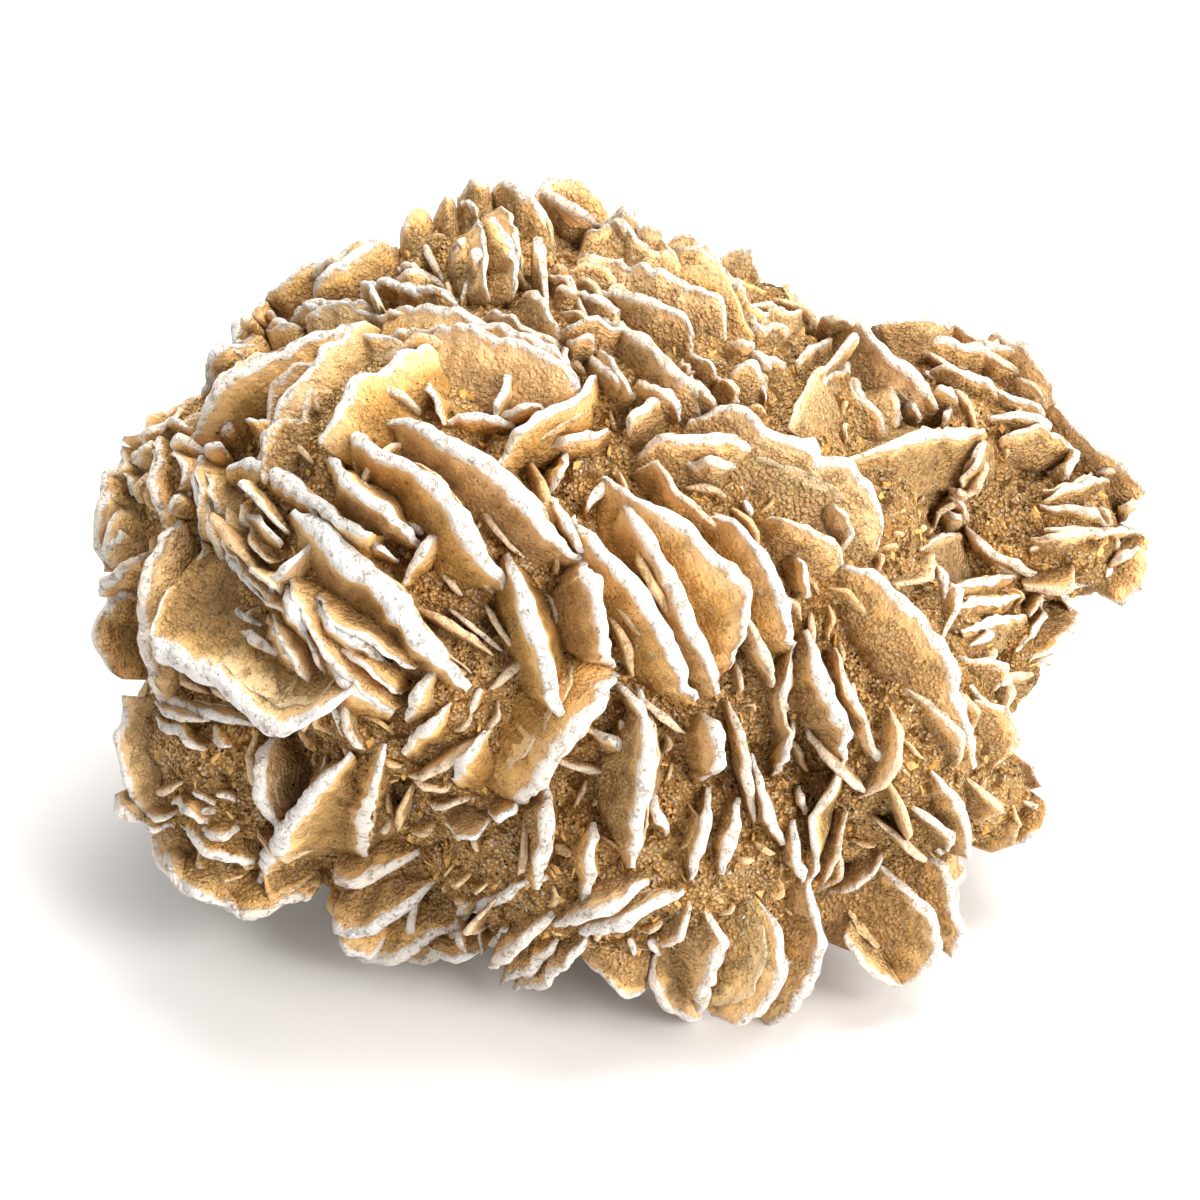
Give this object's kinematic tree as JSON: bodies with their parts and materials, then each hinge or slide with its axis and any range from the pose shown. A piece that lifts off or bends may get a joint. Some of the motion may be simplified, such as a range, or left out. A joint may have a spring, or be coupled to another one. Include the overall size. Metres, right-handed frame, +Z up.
{
  "type": "gypsum sand rose",
  "caption": "Irregular rosette cluster of flat, rounded gypsum blades grown through each other out of cemented sand; rests on its worn lowest blade tips.",
  "frame": {"origin": "under the middle of the cluster, on the surface that it rests on", "axes": "+X along the longest side, towards the smaller lobe; +Y away from the side with the large rosette; +Z up"},
  "size_m": [0.1085, 0.0809, 0.0704],
  "materials": {
    "sandy_gypsum": "matte"
  },
  "bodies": {
    "root": {"sand_rose": "sandy_gypsum"}
  },
  "joints": []
}
